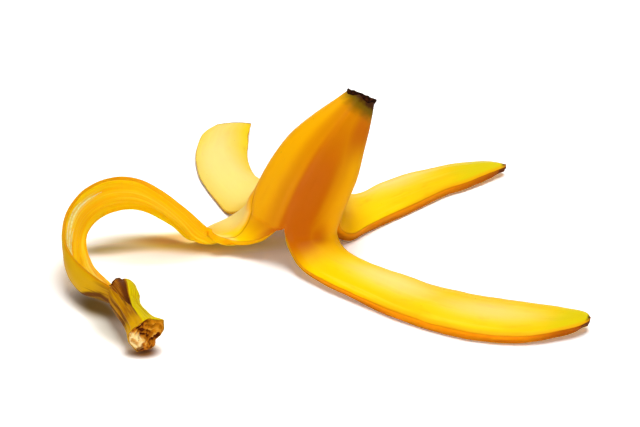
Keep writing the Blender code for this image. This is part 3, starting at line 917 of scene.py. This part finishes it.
def linear(hexColour):
    values = [int(hexColour[i:i + 2], 16) / 255 for i in (1, 3, 5)]
    return (*[v / 12.92 if v <= 0.04045 else ((v + 0.055) / 1.055) ** 2.4 for v in values], 1.0)


def startMaterial(name):
    material = bpy.data.materials.new(name)
    material.use_nodes = True
    material.node_tree.nodes.clear()
    return material, material.node_tree


def addNode(tree, kind, settings, output=0):
    # one node; a setting is a property, or a socket by name or number that takes a value or a link
    node = tree.nodes.new("ShaderNode" + kind)
    for key, value in settings.items():
        if isinstance(key, str) and key not in node.inputs:
            setattr(node, key, value)
        elif isinstance(value, bpy.types.NodeSocket):
            tree.links.new(value, node.inputs[key])
        else:
            node.inputs[key].default_value = value
    return node.outputs[output] if len(node.outputs) else node


def grain(tree, vector, size, stretch=(1, 1, 1), detail=3.0, rough=0.55):
    # noise whose grain is size mm wide on a vector in mm
    mapped = addNode(tree, "VectorMath", {"operation": "MULTIPLY", 0: vector, 1: stretch})
    pattern = {"Vector": mapped, "Scale": 1.0 / size, "Detail": detail, "Roughness": rough}
    return addNode(tree, "TexNoise", pattern)


def moved(tree, value, pattern, amount):
    # the value shifted up and down by a pattern, so that its limits run ragged
    shift = addNode(tree, "Math", {"operation": "MULTIPLY_ADD", 0: pattern, 1: amount, 2: -amount / 2})
    return addNode(tree, "Math", {"operation": "ADD", 0: value, 1: shift})


def painted(tree, colour, layers):
    # each layer's colour comes in where its mask passes from low to high, at most this much
    for over, mask, low, high, *limit in layers:
        most = limit[0] if limit else 1.0
        ramp = {"interpolation_type": "SMOOTHSTEP", 0: mask, 1: low, 2: high, 3: 0.0, 4: most}
        share = addNode(tree, "MapRange", ramp)
        under, over = [linear(each) if isinstance(each, str) else each for each in (colour, over)]
        colour = addNode(tree, "Mix", {"data_type": "RGBA", 0: share, 6: under, 7: over}, 2)
    return colour


def surfaced(tree, colour, relief, depth, settings):
    bump = addNode(tree, "Bump", {"Strength": 1.0, "Distance": depth * mm, "Height": relief})
    whole = {
        "Base Color": colour, "Normal": bump, "IOR": 1.45, "Specular IOR Level": 0.05,
        "Subsurface Radius": (1.0, 0.45, 0.08),
    }
    surface = addNode(tree, "BsdfPrincipled", {**whole, **settings})
    addNode(tree, "OutputMaterial", {"Surface": surface})


skinColours = {
    "yellow": "#FFD800",
    "deep": "#FFC600",
    "cone": "#ECA600",      # the riper skin of the uncut end, made deeper still as painted shade
    "facing": "#D28200",    # its front, painted shade
    "mottle": "#DC8A00",
    "shaded": "#BE5E00",    # and down the front ridge, painted shade, darkest of all
    "streak": "#FFE040",
    # painted highlight where light falls on the skin
    "paintedHighlight": "#FFE888",
    "green": "#E2CE00",
    "stalk": "#C69400",     # towards the stem, with paler and browner lines
    "stalkPale": "#D8B000",
    "stalkEnd": "#A87200",
    "stalkLine": "#9A6000",
    "stalkDark": "#6E3C00",
    "vein": "#5A2A02",
    "under": "#6E4A08",     # painted shade on the underside of the hook, past the vein
    # painted shade in the crease of the fold
    "fold": "#B87400",
    "halo": "#5E4E04",
    "brown": "#3E1C06",
    # painted shade along the edges that turn down at the front
    "lowEdgeShade": "#EEA800",
    "rust": "#C46A00",
    "fleck": "#A06A10",
}


def bananaSkin():
    # ripe banana skin, grown, with a thin natural wax: a soft broad sheen over a deep yellow that turns green
    # towards the stem end and dries brown at the ends and at tears; shade and highlights are painted into its
    # colour
    material, tree = startMaterial("bananaSkin")
    tint = skinColours
    place = addNode(tree, "Attribute", {"attribute_name": "place"}, "Vector")
    names = ("spotShade", "paintedHighlight", "green", "stalk", "vein", "under", "crease", "brown", "edgeGap", "lowEdgeShade")
    fact = {name: addNode(tree, "Attribute", {"attribute_name": name}, "Fac") for name in names}
    along = addNode(tree, "SeparateXYZ", {0: place}, "Z")
    hue = grain(tree, place, 22.0, (1, 1, 0.4), 2.0)
    mottle = grain(tree, place, 4.5, (1, 1, 0.4), 4.0)
    ragged = grain(tree, place, 4.0, (1, 1, 0.35), 3.0)
    streak = grain(tree, place, 2.2, (1, 1, 0.06), 2.0)  # faint lines down the fruit
    fine = grain(tree, place, 1.0, (1, 1, 0.05), 3.0)
    cloudy = grain(tree, place, 2.2, (0.33, 0.33, 1), 3.0)
    pores = grain(tree, place, 0.5, (1, 1, 0.5), 2.0)
    fleck = addNode(tree, "TexVoronoi", {"Vector": place, "Scale": 0.16}, "Distance")

    # directions on the whole fruit: the front of the cone, its right, and where the tip leans
    facing, beside, leaning = [
        addNode(tree, "VectorMath", {"operation": "DOT_PRODUCT", 0: place, 1: way}, "Value")
        for way in ((-0.0046, -0.0524, 0.0), (0.0495, -0.018, 0.0), (0.14, -0.10, 0.0))
    ]
    facing = moved(tree, facing, hue, 0.12)
    onCone, upright, belowTip, front, ridge, pastRidge = [
        addNode(tree, "MapRange", {"interpolation_type": "SMOOTHSTEP", 0: value, 1: low, 2: high, 3: least})
        for value, low, high, least in (
            (along, 94.0, 54.0, 0.0),
            (along, 80.0, 56.0, 0.0),
            (along, 2.0, 40.0, 0.25),
            (facing, 0.5, 1.0, 0.0),
            (facing, 0.8, 1.0, 0.0),
            (beside, -0.14, 0.04, 0.0),
        )
    ]
    # round the cone its front is painted a darker orange as shade: sharply so at the ridge on the left, and
    # fading slowly to the right
    front = addNode(tree, "Math", {"operation": "MULTIPLY", 0: front, 1: upright})
    for share in (pastRidge, upright, belowTip):
        ridge = addNode(tree, "Math", {"operation": "MULTIPLY", 0: ridge, 1: share})
    # the spots of painted shade join the painted shade of the ridge
    ridge = addNode(tree, "Math", {"operation": "MAXIMUM", 0: ridge, 1: fact["spotShade"]})
    pastCone = {"interpolation_type": "SMOOTHSTEP", 0: along, 1: 66.0, 2: 96.0, 3: -0.15, 4: 0.2}
    pastCone = addNode(tree, "MapRange", pastCone)
    lengthwise = addNode(tree, "Math", {"operation": "ADD", 0: streak, 1: pastCone})
    # a thin darker line in the crease of the fold: painted shade
    fold = addNode(tree, "Math", {"operation": "ABSOLUTE", 0: fact["crease"]})
    # the dark ring at the tip is the skin's own; it reaches further down on the side it leans to as painted
    # shade
    tipwards = addNode(tree, "Math", {"operation": "SUBTRACT", 0: along, 1: leaning})
    halo = moved(tree, tipwards, cloudy, 3.0)
    colour = painted(tree, tint["yellow"], (
        (tint["deep"], hue, 0.35, 0.68),
        (tint["cone"], onCone, 0.0, 1.0),
        (tint["facing"], front, 0.0, 1.0),
        (tint["mottle"], mottle, 0.5, 0.8, 0.28),
        (tint["shaded"], ridge, 0.0, 1.0),
        (tint["streak"], lengthwise, 0.68, 0.95, 0.35),
        # painted highlight
        (tint["paintedHighlight"], moved(tree, fact["paintedHighlight"], hue, 0.3), 0.05, 0.95, 0.9),
        (tint["green"], moved(tree, fact["green"], hue, 0.7), 0.1, 0.9, 0.9),
        (tint["stalk"], moved(tree, fact["stalk"], hue, 0.5), 0.0, 0.55, 0.95),
        (tint["stalkPale"], moved(tree, fact["stalk"], streak, 2.0), 1.1, 1.5, 0.5),
        (tint["stalkEnd"], moved(tree, fact["stalk"], streak, 0.15), 0.84, 0.99, 0.8),
        (tint["stalkLine"], moved(tree, fact["stalk"], streak, 1.2), 0.92, 1.15, 0.7),
        (tint["stalkDark"], moved(tree, fact["stalk"], fine, 1.8), 0.95, 1.35, 0.8),
        (tint["vein"], moved(tree, fact["vein"], ragged, 1.0), 1.3, 0.4, 0.95),
        # painted shade below the vein
        (tint["under"], moved(tree, fact["under"], ragged, 0.4), 0.1, 0.9, 0.85),
        (tint["fold"], fold, 0.55, 0.1, 0.6),
        (tint["halo"], halo, 7.2, 1.2, 0.9),
        (tint["brown"], halo, 1.6, -0.6, 0.95),
        (tint["brown"], moved(tree, fact["brown"], ragged, 0.8), 0.25, 0.8),
        # painted shade along the front edges
        (tint["lowEdgeShade"], fact["lowEdgeShade"], 3.6, 0.4, 0.85),
        (tint["rust"], moved(tree, fact["edgeGap"], ragged, 1.6), 0.7, 0.0, 0.55),
        (tint["fleck"], fleck, 0.05, 0.02, 0.45),
    ))
    height = addNode(tree, "Math", {"operation": "MULTIPLY_ADD", 0: pores, 1: 0.25, 2: streak})
    rough = addNode(tree, "MapRange", {0: pores, 1: 0.3, 2: 0.7, 3: 0.38, 4: 0.5})
    surfaced(tree, colour, height, 0.10, {
        "Roughness": rough, "Subsurface Weight": 0.12, "Subsurface Scale": 2.0 * mm,
    })
    return material


def bananaPith():
    # the soft inner side, torn from the fruit: dull and moist, with fibres that run its
    # length; light comes through it from the skin side, so it glows orange
    material, tree = startMaterial("bananaPith")
    place = addNode(tree, "Attribute", {"attribute_name": "place"}, "Vector")
    cream = addNode(tree, "Attribute", {"attribute_name": "cream"}, "Fac")
    edgeGap = addNode(tree, "Attribute", {"attribute_name": "edgeGap"}, "Fac")
    fibre = grain(tree, place, 0.9, (1, 1, 0.035), 3.0, 0.6)
    broad = grain(tree, place, 3.0, (1, 1, 0.04), 2.0)
    colour = painted(tree, "#FFB000", (
        ("#FFC20E", fibre, 0.38, 0.62),
        ("#FFD030", broad, 0.52, 0.68, 0.6),
        ("#F29600", broad, 0.46, 0.3, 0.6),
        ("#FFDC88", moved(tree, cream, fibre, 1.2), 0.3, 1.1, 0.6),
        ("#F08C00", moved(tree, edgeGap, fibre, 1.2), 1.3, 0.2, 0.7),
    ))
    surfaced(tree, colour, fibre, 0.3, {
        "Roughness": 0.55, "Subsurface Weight": 1.0, "Subsurface Scale": 10.0 * mm,
        "Subsurface Radius": (1.0, 0.8, 0.3),
    })
    return material


def tornEdge():
    # the thickness of the skin where it tore: moist orange fibre that browns in the air, with painted shade
    # towards its lower, pith side
    material, tree = startMaterial("tornEdge")
    place = addNode(tree, "Attribute", {"attribute_name": "place"}, "Vector")
    names = ("through", "fresh", "green", "brown", "wall")
    fact = {name: addNode(tree, "Attribute", {"attribute_name": name}, "Fac") for name in names}
    fibre = grain(tree, place, 1.8, (1, 1, 0.05), 3.0)
    patches = grain(tree, place, 6.0, (1, 1, 0.25), 3.0)
    aged = addNode(tree, "Math", {"operation": "ADD", 0: fact["green"], 1: fact["brown"]})
    aged = moved(tree, aged, patches, 0.5)
    colour = painted(tree, "#EC9000", (
        # darker towards the pith side, at the bottom of the torn face: painted shade
        ("#B45C04", moved(tree, fact["through"], fibre, 0.5), 0.2, 1.1),
        ("#C86A00", patches, 0.55, 0.78, 0.6),
        ("#FFB200", fact["fresh"], 0.0, 1.0, 0.95),
        ("#9A4200", aged, 0.1, 1.1, 0.85),
        ("#4E2606", aged, 0.85, 1.3, 0.9),
        ("#A85A00", moved(tree, fact["through"], patches, 0.25), 0.15, 0.0, 0.5),
        ("#C08406", fact["wall"], 2.2, 1.2, 0.8),  # where the skin is thin, little of it shows
    ))
    surfaced(tree, colour, fibre, 0.3, {
        "Roughness": 0.5, "Subsurface Weight": 0.6, "Subsurface Scale": 4.0 * mm,
        "Subsurface Radius": (1.0, 0.6, 0.1),
    })
    return material


def stemSkin():
    # the woody stalk: green and golden skin over hard fibre, with brown lines in its hollows, a bare torn
    # hollow, and a rough cut end of cream pith and curled brown fibre, with painted shade in its pits and
    # painted highlight on its bumps
    material, tree = startMaterial("stemSkin")
    place = addNode(tree, "Attribute", {"attribute_name": "place"}, "Vector")
    cutPlace = addNode(tree, "Attribute", {"attribute_name": "cutPlace"}, "Vector")
    names = ("lines", "flap", "bare", "shade", "tornTop", "relief", "cut")
    fact = {name: addNode(tree, "Attribute", {"attribute_name": name}, "Fac") for name in names}
    along = addNode(tree, "SeparateXYZ", {0: place}, "Z")
    patches = grain(tree, place, 6.0, (1, 1, 0.4), 3.0)
    streak = grain(tree, place, 2.0, (1, 1, 0.09), 3.0)
    fine = grain(tree, place, 0.9, (1, 1, 0.07), 3.0)
    speckle = grain(tree, cutPlace, 1.3, (1, 1, 1), 4.0)
    # the cut end is painted dark in its hollows and light on its raised fibres: painted shade and highlight
    # over its own brown and cream
    uneven = moved(tree, fact["relief"], speckle, 1.0)
    # on the cut end, a cream patch to the left and a golden one up on the right
    toCream, toGold = [
        addNode(tree, "VectorMath", {"operation": "DISTANCE", 0: cutPlace, 1: middle}, "Value")
        for middle in ((5.4, -2.0, 0.0), (-4.6, 3.8, 0.0))
    ]
    unripe = painted(tree, "#DCC400", (("#C09800", streak, 0.46, 0.68),))
    hollow = painted(tree, "#7A3C04", (("#B4700C", fine, 0.42, 0.64),))
    cream = painted(tree, "#E2AC5A", (("#F6DA96", uneven, 0.15, 0.6),))
    cut = painted(tree, "#561F02", (
        ("#B86A0A", uneven, 0.22, 0.5),
        ("#E8AC48", uneven, 0.58, 0.92, 0.9),
        (cream, moved(tree, toCream, speckle, 4.0), 4.6, 3.0, 0.92),
        ("#CC8208", moved(tree, toGold, speckle, 4.0), 5.5, 2.5, 0.75),
    ))
    colour = painted(tree, "#B07400", (
        ("#965800", patches, 0.4, 0.62),
        ("#C89400", streak, 0.5, 0.68, 0.7),
        ("#5E3002", moved(tree, fact["lines"], fine, 1.6), 0.4, 0.9, 0.9),
        ("#D8A000", moved(tree, along, patches, 10.0), 185.0, 192.0, 0.8),
        (unripe, moved(tree, fact["flap"], streak, 0.7), 0.3, 0.8, 0.95),
        (hollow, moved(tree, fact["bare"], streak, 0.5), 0.3, 0.6),
        ("#582602", moved(tree, fact["shade"], fine, 1.2), 0.2, 0.9, 0.92),
        ("#3A1602", moved(tree, fact["tornTop"], patches, 0.6), 0.2, 0.8, 0.92),
        ("#6A3404", fact["cut"], 0.0, 0.3, 0.8),
        (cut, fact["cut"], 0.3, 1.0),
    ))
    surfaced(tree, colour, streak, 0.25, {
        "Roughness": 0.5, "Subsurface Weight": 0.08, "Subsurface Scale": 2.0 * mm,
    })
    return material


def driedTip():
    # the dried flower end: hard, almost black, with a dull sheen and brown crumbs, paler ones on its raised
    # top partly as a painted highlight
    material, tree = startMaterial("driedTip")
    spot = addNode(tree, "TexCoord", {}, "Object")
    crumbs = grain(tree, spot, 1.3 * mm, (1, 1, 1), 4.0)
    height = addNode(tree, "Attribute", {"attribute_name": "height"}, "Fac")
    colour = painted(tree, "#1A0803", (
        ("#43200C", crumbs, 0.42, 0.7),
        # paler crumbs only where the tip stands highest: real crumbs and partly a painted highlight
        ("#A87C5C", moved(tree, crumbs, height, 0.12), 0.6, 0.7, 0.9),
    ))
    surfaced(tree, colour, crumbs, 0.3, {"Roughness": 0.6, "Specular IOR Level": 0.02})
    return material


def pithString():
    # the soft strings that lie between skin and fruit: cream, moist, a little see-through
    material, tree = startMaterial("pithString")
    spot = addNode(tree, "TexCoord", {}, "Object")
    patches = grain(tree, spot, 1.2 * mm, (1, 1, 1), 3.0)
    colour = painted(tree, "#FFE6A0", (("#F8CC60", patches, 0.4, 0.7),))
    surfaced(tree, colour, patches, 0.15, {
        "Roughness": 0.45, "Specular IOR Level": 0.15, "Subsurface Weight": 0.6,
        "Subsurface Scale": 3.0 * mm,
    })
    return material


studio = {
    "floorSize": 6.0,
    "cameraAt": (-0.07, -655.33, 356.44),
    "tiltDown": 28.0,
    "lens": 98.1,
    "lamps": (  # name, where it stands, size, energy
        ("topLamp", (0.15, 0.08, 1.0), 0.65, 9.6),
        ("leftLamp", (-1.0, -0.4, 0.12), 0.6, 5.3),
        ("frontLamp", (-0.05, -1.2, 0.12), 0.6, 11.0),
        ("rightLamp", (1.1, -0.3, 0.18), 0.6, 1.8),
        ("backLamp", (-0.3, 1.1, 0.35), 0.8, 2.6),
    ),
    "world": 0.03,
    "bounce": 0.93,                   # how pale the floor is to the peel
    "seen": (1.38, 1.37, 1.36),        # how the camera sees it: white in the light
    "plainWhite": (0.4, 0.9),          # from here out, past the reach of the lamps, plain white
    # painted shadows on the floor, tinted warm as light through the peel would tint them: middle, half length
    # and width, direction, colour
    "paintedShadows": (
        ((-0.052, -0.0115), (0.060, 0.016), 1.0, "#CFC26B"),
        ((-0.0875, -0.0645), (0.026, 0.011), -50.0, "#8E7440"),
        ((-0.0670, -0.0970), (0.010, 0.0065), 0.0, "#7E5834"),
        ((-0.087, -0.0175), (0.023, 0.0075), 4.0, "#ADA172"),
        ((-0.059, -0.0070), (0.024, 0.0070), 8.0, "#D2B070"),
        ((-0.068, -0.0245), (0.040, 0.011), 2.0, "#DCDAD2"),
        ((-0.081, -0.082), (0.022, 0.009), -52.0, "#CFCCC0"),
    ),
}


def makeFloor():
    bpy.ops.mesh.primitive_plane_add(size=studio["floorSize"], location=(0, 0, -0.0002))
    floor = bpy.context.active_object
    floor.name = "floor"
    material, tree = startMaterial("paleFloor")
    plain = addNode(tree, "BsdfDiffuse", {"Color": (*[studio["bounce"]] * 3, 1)})
    spot = addNode(tree, "TexCoord", {}, "Object")
    paper = (*studio["seen"], 1)
    floorShadows = []
    # each ellipse darkens and tints the floor the camera sees: painted shadow
    for middle, size, turned, tint in studio["paintedShadows"]:
        there = addNode(tree, "Mapping", {
            "vector_type": "TEXTURE", "Vector": spot, "Location": (*middle, 0), "Scale": (*size, 1),
            "Rotation": (0, 0, math.radians(turned)),
        })
        away = addNode(tree, "VectorMath", {"operation": "LENGTH", 0: there}, "Value")
        shadowColour = [value * share for value, share in zip(paper, linear(tint))]
        floorShadows.append((shadowColour, away, 1.0, 0.2))
    paper = addNode(tree, "BsdfDiffuse", {"Color": painted(tree, paper, floorShadows)})
    far = addNode(tree, "VectorMath", {"operation": "LENGTH", 0: spot}, "Value")
    low, high = studio["plainWhite"]
    far = addNode(tree, "MapRange", {"interpolation_type": "SMOOTHSTEP", 0: far, 1: low, 2: high})
    white = addNode(tree, "Emission", {"Color": (1, 1, 1, 1), "Strength": 1.0})
    paper = addNode(tree, "MixShader", {0: far, 1: paper, 2: white})
    seen = addNode(tree, "LightPath", {}, "Is Camera Ray")
    picked = addNode(tree, "MixShader", {0: seen, 1: plain, 2: paper})
    addNode(tree, "OutputMaterial", {"Surface": picked})
    floor.data.materials.append(material)


def makeStudio():
    makeFloor()
    world = bpy.data.worlds.new("softStudio")
    bpy.context.scene.world = world
    world.use_nodes = True
    tree = world.node_tree
    tree.nodes.clear()
    seen = addNode(tree, "LightPath", {}, "Is Camera Ray")
    for ray in ("Is Glossy Ray", "Is Transmission Ray"):
        other = addNode(tree, "LightPath", {}, ray)
        seen = addNode(tree, "Math", {"operation": "MAXIMUM", 0: seen, 1: other})
    soft, white = [
        addNode(tree, "Background", {"Color": (1, 1, 1, 1), "Strength": strength})
        for strength in (studio["world"], 1.0)
    ]
    picked = addNode(tree, "MixShader", {0: seen, 1: soft, 2: white})
    addNode(tree, "OutputWorld", {"Surface": picked})

    for name, at, size, energy in studio["lamps"]:
        bpy.ops.object.light_add(type="AREA", location=at)
        lamp = bpy.context.active_object
        lamp.name = name
        lamp.data.energy = energy
        lamp.data.size = size
        lamp.rotation_euler = (-Vector(at)).to_track_quat("-Z", "Y").to_euler()
    bpy.context.scene.view_settings.view_transform = "Standard"

    bpy.ops.object.camera_add(location=Vector(studio["cameraAt"]) * mm)
    camera = bpy.context.active_object
    camera.rotation_euler = (math.radians(90 - studio["tiltDown"]), 0, 0)
    camera.data.lens = studio["lens"]
    camera.data.sensor_width = 36.0
    bpy.context.scene.camera = camera


def dress(piece, materials):
    # a piece that already has material slots keeps which face has which
    for index, material in enumerate(materials):
        if index < len(piece.data.materials):
            piece.data.materials[index] = material
        else:
            piece.data.materials.append(material)
    piece.data.shade_smooth()
    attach(piece, "root")
    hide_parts("peel")
    print(piece.name, "placed:", len(piece.data.polygons), "faces")


dress(makeSkin(), (bananaSkin(), bananaPith(), tornEdge()))
dress(makeStem(), (stemSkin(),))
dress(makeTip(), (driedTip(),))
dress(makeStrings(), (pithString(),))
makeStudio()
print("studio set")
